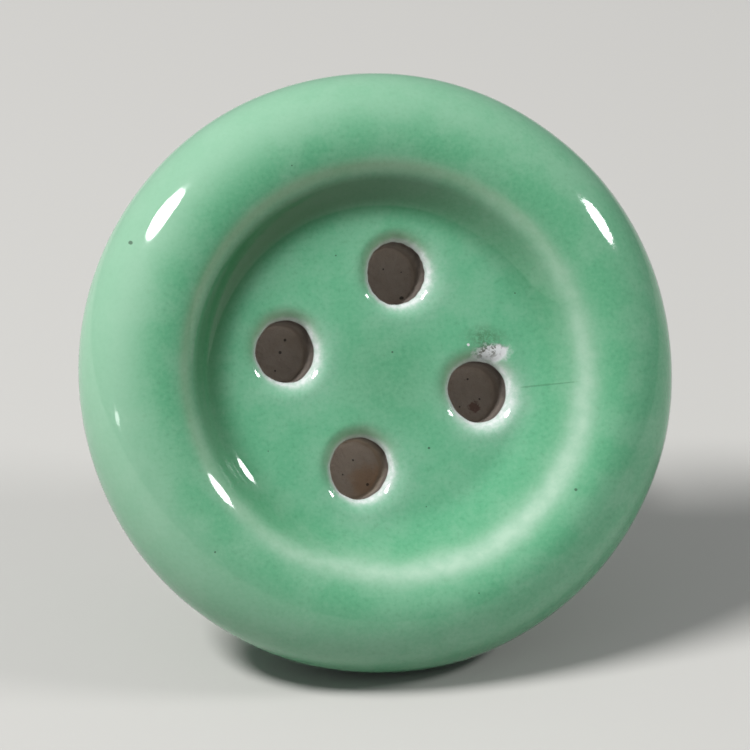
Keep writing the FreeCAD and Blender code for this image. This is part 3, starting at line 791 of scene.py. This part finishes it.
class Graph:
    """Short names for the nodes that the materials are built from."""

    def __init__(self, name):
        self.material = bpy.data.materials.new(name)
        self.material.use_nodes = True
        self.nodes = self.material.node_tree.nodes
        self.links = self.material.node_tree.links
        self.shader = self.nodes["Principled BSDF"]

    def join(self, value, socket):
        """Links a socket, or sets a plain value."""
        if isinstance(value, bpy.types.NodeSocket):
            self.links.new(value, socket)
        else:
            socket.default_value = value

    def attribute(self, name):
        """A node that reads a mesh attribute."""
        node = self.nodes.new("ShaderNodeAttribute")
        node.attribute_name = name
        return node

    def place(self):
        """The point in the knob's own frame, in millimetres."""
        return self.attribute("knob").outputs["Vector"]

    def split_height(self):
        """The height of the point in the knob's own frame, in millimetres."""
        node = self.nodes.new("ShaderNodeSeparateXYZ")
        self.join(self.place(), node.inputs[0])
        return node.outputs["Z"]

    def mask(self, name):
        """The value of a shading mask."""
        return self.attribute(name).outputs["Fac"]

    def math(self, operation, first, second=0.0, clamp=False):
        """Arithmetic on two values; clamp keeps the result between 0 and 1."""
        node = self.nodes.new("ShaderNodeMath")
        node.operation = operation
        node.use_clamp = clamp
        self.join(first, node.inputs[0])
        self.join(second, node.inputs[1])
        return node.outputs[0]

    def range(self, value, low, high, to_low=0.0, to_high=1.0):
        """to_low where the value is low, to_high where it is high, and an even curve between."""
        node = self.nodes.new("ShaderNodeMapRange")
        node.interpolation_type = "SMOOTHSTEP"
        self.join(value, node.inputs["Value"])
        node.inputs["From Min"].default_value = low
        node.inputs["From Max"].default_value = high
        node.inputs["To Min"].default_value = to_low
        node.inputs["To Max"].default_value = to_high
        return node.outputs["Result"]

    def noise(self, scale, detail=2.0, roughness=0.5, place=None, distortion=0.0):
        """Cloudy noise about 0.5, at the point in the knob's own frame unless told otherwise."""
        node = self.nodes.new("ShaderNodeTexNoise")
        self.join(place or self.place(), node.inputs["Vector"])
        node.inputs["Scale"].default_value = scale
        node.inputs["Detail"].default_value = detail
        node.inputs["Roughness"].default_value = roughness
        node.inputs["Distortion"].default_value = distortion
        return node.outputs["Fac"]

    def mix(self, share, first, second):
        """The first colour, with a share of the second."""
        node = self.nodes.new("ShaderNodeMix")
        node.data_type = "RGBA"
        self.join(share, node.inputs[0])
        self.join(first, node.inputs[6])
        self.join(second, node.inputs[7])
        return node.outputs[2]

    def spot(self, centre, radius, stretch=FLAT, ragged=0.0, scale=2.0, soft=0.25):
        """1 inside a spot about a point and 0 outside it. stretch weighs lengths along each axis,
        ragged and scale give the edge's unevenness, and soft is a share of the radius."""
        shift = self.nodes.new("ShaderNodeVectorMath")
        shift.operation = "SUBTRACT"
        self.join(self.place(), shift.inputs[0])
        shift.inputs[1].default_value = centre
        squeeze = self.nodes.new("ShaderNodeVectorMath")
        squeeze.operation = "MULTIPLY"
        self.join(shift.outputs[0], squeeze.inputs[0])
        squeeze.inputs[1].default_value = stretch
        length = self.nodes.new("ShaderNodeVectorMath")
        length.operation = "LENGTH"
        self.join(squeeze.outputs[0], length.inputs[0])
        distance = length.outputs["Value"]
        if ragged:
            uneven = self.math("MULTIPLY", self.noise(scale, 3.0, 0.6), 2 * ragged)
            distance = self.math("ADD", distance, self.math("SUBTRACT", uneven, ragged))
        return self.range(distance, (1 + soft) * radius, (1 - soft) * radius)

    def bump(self, height, strength, distance):
        """Shades the surface as if raised by height, at most by this distance in metres."""
        node = self.nodes.new("ShaderNodeBump")
        node.inputs["Strength"].default_value = strength
        node.inputs["Distance"].default_value = distance
        self.join(height, node.inputs["Height"])
        self.join(node.outputs["Normal"], self.shader.inputs["Normal"])

    def set(self, **values):
        """Sets the shader's inputs; an underscore in a name stands for a space."""
        for name, value in values.items():
            self.join(value, self.shader.inputs[name.replace("_", " ")])


def colour(red, green, blue):
    """A linear colour."""
    return (red, green, blue, 1.0)


# The glaze.
GREEN = colour(0.098, 0.345, 0.184)
DEEP_GREEN = colour(0.018, 0.092, 0.026)
FLOOR_GREEN = colour(0.210, 0.570, 0.370)
PALE_GREEN = colour(0.290, 0.480, 0.345)
CREAM = colour(0.490, 0.640, 0.520)
NEAR_WHITE = colour(0.650, 0.670, 0.665)
SHADED_THIN_GLAZE = colour(0.225, 0.205, 0.100)
DARK_SPECK = colour(0.030, 0.045, 0.030)
STAIN = colour(0.045, 0.100, 0.040)
CHIPPED = colour(0.620, 0.610, 0.630)
CHIP_DIRT = colour(0.150, 0.130, 0.120)
# The clay: at the bottoms of the holes, on their walls, painted darker as shade and darkest at the
# glaze edge, and on the foot.
TAUPE = colour(0.780, 0.690, 0.600)
DARKER_TAUPE = colour(0.700, 0.610, 0.520)
LIGHT_GRAIN = colour(0.680, 0.620, 0.540)
DARK_GRAIN = colour(0.260, 0.200, 0.160)
LIGHTER_BOTTOM = colour(0.900, 0.810, 0.720)
RED_STAIN = colour(0.300, 0.130, 0.100)
RUST = colour(0.800, 0.500, 0.280)
GRIT = colour(0.400, 0.240, 0.190)
PIN_SPECK = colour(0.022, 0.017, 0.013)
LIGHTER_WALL = colour(0.700, 0.590, 0.480)
SHADED_WALL_AND_DARK_CLAY = colour(0.480, 0.410, 0.355)
HOLE_EDGE_SHADOW = colour(0.105, 0.085, 0.072)
FOOT_CLAY = colour(0.430, 0.355, 0.290)
# Heights between which the clay's colours change over, in millimetres.
EDGE_TO_WALL = (15.6, 13.4)
WALL_TO_BOTTOM = (13.4, 12.6)
BOTTOM_TO_FOOT = (9.5, 8.5)

# Dark specks in the glaze: across and up from the middle of the face, and radius.
GLAZE_SPECKS = (
    (11.8, -9.0, 0.10), (2.65, -5.35, 0.08), (0.8, 1.2, 0.07), (-16.1, 9.8, 0.13),
    (-2.4, 7.9, 0.05), (9.4, 4.4, 0.05), (-8.1, -4.6, 0.04), (4.6, -15.2, 0.05),
    (-12.6, -10.9, 0.06), (2.1, -9.2, 0.04), (-5.2, 13.9, 0.05),
)
# Pin specks in the clay: number of the hole, across and up from its middle, and radius.
CLAY_PINS = (
    (0, 0.75, -1.45, 0.17), (0, -0.3, 0.6, 0.08), (3, 0.75, 0.95, 0.12), (3, 0.35, 0.15, 0.13),
    (3, -0.1, -1.05, 0.10), (1, 0.2, 0.9, 0.08), (1, 0.9, -0.5, 0.10), (2, 0.1, 0.7, 0.09),
    (2, 0.9, -1.0, 0.12), (1, -0.5, -0.9, 0.07), (0, 0.9, 0.3, 0.07), (2, -0.7, -0.2, 0.07),
)
PIN_SIZE = 0.8
# Heights of two flaws in the glaze.
CHIP_HEIGHT = 16.8
CRACKLE_HEIGHT = 17.2


def glaze_material():
    """Celadon glaze: thin and pale on sharp edges, with painted shade on the dish wall and the
    rim's edge, painted light on the rim, ridge and hole mouths, and a few flaws.
    """
    graph = Graph("celadon_glaze")
    cloud = graph.noise(0.35, 3.0, 0.55)
    grain = graph.noise(3.5, 4.0, 0.6)
    base = graph.mix(graph.range(cloud, 0.40, 0.66, 0.0, 0.22), GREEN, PALE_GREEN)
    dish = graph.spot((0.0, 0.0, DISH_FLOOR), 11.0, soft=0.2)
    base = graph.mix(graph.math("MULTIPLY", dish, 0.15), base, FLOOR_GREEN)
    middle = graph.spot((0.4, -0.4, DISH_FLOOR), 3.0, soft=0.8)
    base = graph.mix(graph.math("MULTIPLY", middle, 0.20), base, DEEP_GREEN)
    base = graph.mix(graph.range(grain, 0.45, 0.75, 0.0, 0.14), base, PALE_GREEN)
    base = graph.mix(graph.range(grain, 0.50, 0.25, 0.0, 0.16), base, DEEP_GREEN)
    # Painted light on the rim's left side.
    base = graph.mix(graph.mask("rim"), base, PALE_GREEN)
    # Painted shade on the dish wall and the rim's outer edge.
    base = graph.mix(graph.mask("painted_shade"), base, DEEP_GREEN)
    # Painted shade on thin glaze, brown, at the ridge's upper left and the top of each hole.
    base = graph.mix(graph.mask("halo"), base, SHADED_THIN_GLAZE)
    # Thin pale glaze on the ridge, with painted light on its lower right.
    uneven = graph.range(graph.noise(0.8, 3.0, 0.6), 0.3, 0.7, 0.80, 1.08)
    base = graph.mix(graph.math("MULTIPLY", graph.mask("thin_and_lit"), uneven, clamp=True), base, CREAM)
    # Thin white glaze round the holes, with painted light on their lower right.
    rough_edge = graph.range(graph.noise(2.6, 3.0, 0.7), 0.36, 0.64, 0.70, 1.0)
    white = graph.math("MULTIPLY", graph.mask("mouth"), rough_edge)
    base = graph.mix(white, base, NEAR_WHITE)
    # A dark, speckled stain beside the chip.
    fine = graph.noise(5.0, 4.0, 0.7)
    beside = (7.1, 1.65, DISH_FLOOR)
    stain = graph.spot(beside, 0.80, (0.75, 1.3, 0.1), ragged=0.4, scale=1.2, soft=0.9)
    stain = graph.math("MULTIPLY", stain, graph.range(fine, 0.35, 0.60, 0.25, 1.0))
    base = graph.mix(graph.math("MULTIPLY", stain, 0.60), base, STAIN)
    # Glaze chipped off above the right-hand hole, with dirt in the rough clay under it.
    chipped_at = (7.55, 0.60, CHIP_HEIGHT)
    chip = graph.spot(chipped_at, 0.58, (0.50, 1.0, 0.1), ragged=0.42, scale=1.5, soft=0.35)
    dirty_side = graph.spot((7.15, 0.85, CHIP_HEIGHT), 0.6, (0.6, 1.0, 0.1), soft=0.6)
    smudge = graph.range(graph.noise(3.0, 4.0, 0.7), 0.48, 0.58)
    dirt = graph.math("MULTIPLY", smudge, dirty_side)
    bare = graph.mix(dirt, CHIPPED, CHIP_DIRT)
    base = graph.mix(graph.math("MULTIPLY", chip, 0.92), base, bare)
    # A tiny near-white spot at the chip's left end.
    white_dot = graph.spot((5.95, 1.25, DISH_FLOOR), 0.10, ragged=0.06, scale=4.0)
    base = graph.mix(white_dot, base, NEAR_WHITE)
    # A crackle line, and dark specks in the glaze.
    middle_of_line = (11.1, -1.87, CRACKLE_HEIGHT)
    crackle = graph.spot(middle_of_line, 0.05, (0.028, 1.0, 0.01), ragged=0.07, scale=1.5)
    base = graph.mix(graph.math("MULTIPLY", crackle, 0.32), base, DEEP_GREEN)
    shown = graph.math("MULTIPLY", graph.mask("face"), 0.68)
    for across, up, radius in GLAZE_SPECKS:
        speck = graph.spot((across, up, WIDEST), radius, (1.0, 1.0, 0.0), ragged=0.03, scale=6.0)
        base = graph.mix(graph.math("MULTIPLY", speck, shown), base, DARK_SPECK)
    roughness = graph.range(chip, 0.2, 0.8, 0.07, 0.75)
    graph.set(Base_Color=base, Roughness=roughness, IOR=1.52)
    waves = graph.math("MULTIPLY", graph.noise(0.9, 2.0, 0.5), 0.5)
    pitted = graph.math("MULTIPLY", graph.math("MULTIPLY", chip, dirt), -6.0)
    sunk = graph.math("MULTIPLY", chip, -4.0)
    graph.bump(graph.math("ADD", waves, graph.math("ADD", pitted, sunk)), 0.35, 0.00004)
    return graph.material


def clay_material():
    """Bare fired clay, taupe and gritty, with specks and stains in the holes and painted shade on
    their walls.
    """
    graph = Graph("fired_clay")
    cloud = graph.noise(0.9, 4.0, 0.6)
    grain = graph.noise(7.0, 4.0, 0.7)
    base = graph.mix(graph.range(cloud, 0.35, 0.70), TAUPE, DARKER_TAUPE)
    base = graph.mix(graph.range(grain, 0.50, 0.80, 0.0, 0.4), base, LIGHT_GRAIN)
    base = graph.mix(graph.range(grain, 0.42, 0.20, 0.0, 0.5), base, DARK_GRAIN)
    right, bottom = hole_centre(1), hole_centre(2)
    lighter = graph.spot((bottom[0], bottom[1], HOLE_BOTTOM), 2.9)
    base = graph.mix(lighter, base, LIGHTER_BOTTOM)
    red = graph.spot((right[0] + 0.45, right[1] - 1.0, HOLE_BOTTOM), 0.35, ragged=0.5, scale=2.5)
    base = graph.mix(graph.math("MULTIPLY", red, 0.7), base, RED_STAIN)
    rust = graph.spot(
        (bottom[0] + 0.9, bottom[1] - 0.9, HOLE_BOTTOM), 1.1, ragged=0.7, scale=1.3, soft=0.5
    )
    base = graph.mix(graph.math("MULTIPLY", rust, 0.55), base, RUST)
    grit = graph.range(graph.noise(11.0, 3.0, 0.8), 0.55, 0.72, 0.0, 0.45)
    base = graph.mix(grit, base, GRIT)
    height = graph.split_height()
    # Painted shade: the holes' walls darker, darkest at the glaze edge, and less dark in the
    # lighter bottom hole.
    low_wall = graph.mix(lighter, SHADED_WALL_AND_DARK_CLAY, LIGHTER_WALL)
    walls = graph.mix(graph.range(height, *EDGE_TO_WALL), HOLE_EDGE_SHADOW, low_wall)
    walls = graph.mix(graph.math("MULTIPLY", grit, 0.3), walls, GRIT)
    base = graph.mix(graph.range(height, *WALL_TO_BOTTOM), walls, base)
    foot = graph.mix(graph.range(cloud, 0.35, 0.70), FOOT_CLAY, SHADED_WALL_AND_DARK_CLAY)
    base = graph.mix(graph.range(height, *BOTTOM_TO_FOOT), base, foot)
    for number, across, up, radius in CLAY_PINS:
        centre = hole_centre(number)
        place = (centre[0] + across, centre[1] + up, HOLE_BOTTOM)
        pin = graph.spot(place, PIN_SIZE * radius, (1.0, 1.0, 0.25), ragged=0.06, scale=5.0)
        base = graph.mix(graph.math("MULTIPLY", pin, 0.75), base, PIN_SPECK)
    graph.set(Base_Color=base, Roughness=0.85, IOR=1.45)
    rough = graph.math("ADD", grain, graph.math("MULTIPLY", graph.noise(2.0, 3.0), 1.5))
    graph.bump(rough, 0.6, 0.00012)
    return graph.material


def cement_material():
    """Grey setting cement with sand in it."""
    graph = Graph("setting_cement")
    scaled = graph.nodes.new("ShaderNodeTexCoord").outputs["Object"]
    cloud = graph.noise(400.0, 4.0, 0.65, place=scaled)
    base = graph.mix(
        graph.range(cloud, 0.35, 0.65), colour(0.42, 0.41, 0.38), colour(0.26, 0.25, 0.23)
    )
    graph.set(Base_Color=base, Roughness=0.9)
    graph.bump(graph.noise(1500.0, 3.0, 0.6, place=scaled), 0.6, 0.00015)
    return graph.material


def rubber_material():
    """Dark soft washer."""
    graph = Graph("soft_washer")
    scaled = graph.nodes.new("ShaderNodeTexCoord").outputs["Object"]
    cloud = graph.noise(700.0, 3.0, 0.6, place=scaled)
    base = graph.mix(cloud, colour(0.035, 0.034, 0.033), colour(0.065, 0.062, 0.060))
    graph.set(Base_Color=base, Roughness=0.7)
    graph.bump(graph.noise(2500.0, 2.0, 0.5, place=scaled), 0.3, 0.00005)
    return graph.material


def steel_material(name, dark, light, low_rough, high_rough, scale):
    """Plated or polished steel with faint handling marks."""
    graph = Graph(name)
    cloud = graph.noise(scale, 4.0, 0.6)
    streak = graph.noise(scale * 6, 3.0, 0.7, distortion=0.6)
    base = graph.mix(graph.range(cloud, 0.35, 0.65), dark, light)
    roughness = graph.range(streak, 0.35, 0.70, low_rough, high_rough)
    graph.set(Base_Color=base, Roughness=roughness, Metallic=1.0)
    graph.bump(streak, 0.15, 0.00002)
    return graph.material


# ---------------------------------------------------------------- building the knob
def finish_piece(piece, body, node, material):
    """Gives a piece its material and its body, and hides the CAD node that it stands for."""
    piece.data.materials.append(material)
    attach(piece, body)
    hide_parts(node)


glaze = glaze_piece()
add_glaze_masks(glaze)
finish_piece(glaze, "head", "glaze_coat", glaze_material())

finish_piece(clay_piece(), "head", "clay_body", clay_material())

plated = steel_material(
    "plated_steel", colour(0.46, 0.45, 0.42), colour(0.60, 0.59, 0.55), 0.25, 0.42, 0.8
)
bright = steel_material(
    "cup_metal", colour(0.60, 0.60, 0.60), colour(0.70, 0.70, 0.69), 0.10, 0.22, 0.4
)
finish_piece(bolt_piece(), "head", "anchor_bolt", plated)
finish_piece(cup_piece(), "head", "base_cup", bright)
finish_piece(washer_piece(), "washer", "flat_washer", plated)
finish_piece(nut_piece(), "nut", "hex_nut", plated)

for node, material, slot in (
    ("setting_cement", cement_material(), "cement"),
    ("cushion_washer", rubber_material(), "rubber"),
):
    carried = frame["nodes"][node]
    carried.data.materials.clear()
    carried.data.materials.append(material)

# ---------------------------------------------------------------- floor, light and camera
FLOOR_HALF = 3.0
floor_mesh = bpy.data.meshes.new("floor")
floor_mesh.from_pydata(
    [(-FLOOR_HALF, -FLOOR_HALF, 0), (FLOOR_HALF, -FLOOR_HALF, 0),
     (FLOOR_HALF, FLOOR_HALF, 0), (-FLOOR_HALF, FLOOR_HALF, 0)],
    [], [(0, 1, 2, 3)],
)
floor = bpy.data.objects.new("floor", floor_mesh)
bpy.context.scene.collection.objects.link(floor)
floor_graph = Graph("pale_floor")
floor_graph.set(Base_Color=colour(0.47, 0.46, 0.44), Roughness=0.75)
floor_mesh.materials.append(floor_graph.material)

target = KNOB_FRAME @ Vector((0.0, 0.0, WIDEST))
AZIMUTH, ELEVATION, DISTANCE = math.radians(-11.3), math.radians(26.0), 0.350
backward = Vector((
    math.sin(AZIMUTH) * math.cos(ELEVATION),
    -math.cos(AZIMUTH) * math.cos(ELEVATION),
    math.sin(ELEVATION),
))
eye = target + backward * DISTANCE


def mirrored(bearing, slope):
    """A point on the rim, and the direction whose light it mirrors to the eye. bearing runs
    round the face from its right, and slope is the tilt of the surface away from the face."""
    spoke = Vector((math.cos(bearing), math.sin(bearing), 0.0))
    facing = spoke * math.sin(slope) + Vector((0.0, 0.0, math.cos(slope)))
    place = spoke * RIM_CENTRE + Vector((0.0, 0.0, WIDEST)) + facing * RIM_ROUND
    place = KNOB_FRAME @ place
    facing = (KNOB_FRAME.to_3x3() @ facing).normalized()
    view = (eye - place).normalized()
    return place, 2 * facing.dot(view) * facing - view


def soft_box(name, bearing, slope, width, height, power):
    """An oval lamp that the rim mirrors to the eye at this bearing and slope. width and height
    are angles as seen from the knob, in degrees: round the rim and across it."""
    distance, nudge = 0.8, 0.01
    bearing, slope = math.radians(bearing), math.radians(slope)
    place, towards = mirrored(bearing, slope)
    beside = mirrored(bearing + nudge, slope)[1] - towards
    beside -= towards * beside.dot(towards)
    beside.normalize()
    above = towards.cross(beside)
    lamp = bpy.data.lights.new(name, "AREA")
    lamp.shape = "ELLIPSE"
    lamp.size = 2 * distance * math.tan(math.radians(width / 2))
    lamp.size_y = 2 * distance * math.tan(math.radians(height / 2))
    lamp.energy = power
    box = bpy.data.objects.new(name, lamp)
    facing = Matrix((beside, above, towards)).transposed().to_4x4()
    box.matrix_world = Matrix.Translation(place + towards * distance) @ facing
    bpy.context.scene.collection.objects.link(box)


soft_box("key", bearing=140.2, slope=33.7, width=11.0, height=23.0, power=8.7)
soft_box("fill", bearing=30.0, slope=24.5, width=8.0, height=19.0, power=2.6)
soft_box("glint", bearing=-174.6, slope=37.1, width=3.5, height=8.0, power=0.12)

world = bpy.data.worlds.new("soft_room")
bpy.context.scene.world = world
world.use_nodes = True
background = world.node_tree.nodes["Background"]
background.inputs["Color"].default_value = colour(0.92, 0.96, 1.0)
background.inputs["Strength"].default_value = 0.24

camera_data = bpy.data.cameras.new("camera")
camera_data.sensor_width = 36.0
camera_data.lens = 252.3
camera_data.shift_x = -0.0032
camera_data.shift_y = -0.0035
camera_data.clip_start = 0.01
camera = bpy.data.objects.new("camera", camera_data)
camera.location = eye
camera.rotation_euler = backward.to_track_quat("Z", "Y").to_euler()
bpy.context.scene.collection.objects.link(camera)
bpy.context.scene.camera = camera
bpy.context.scene.view_settings.view_transform = "Standard"
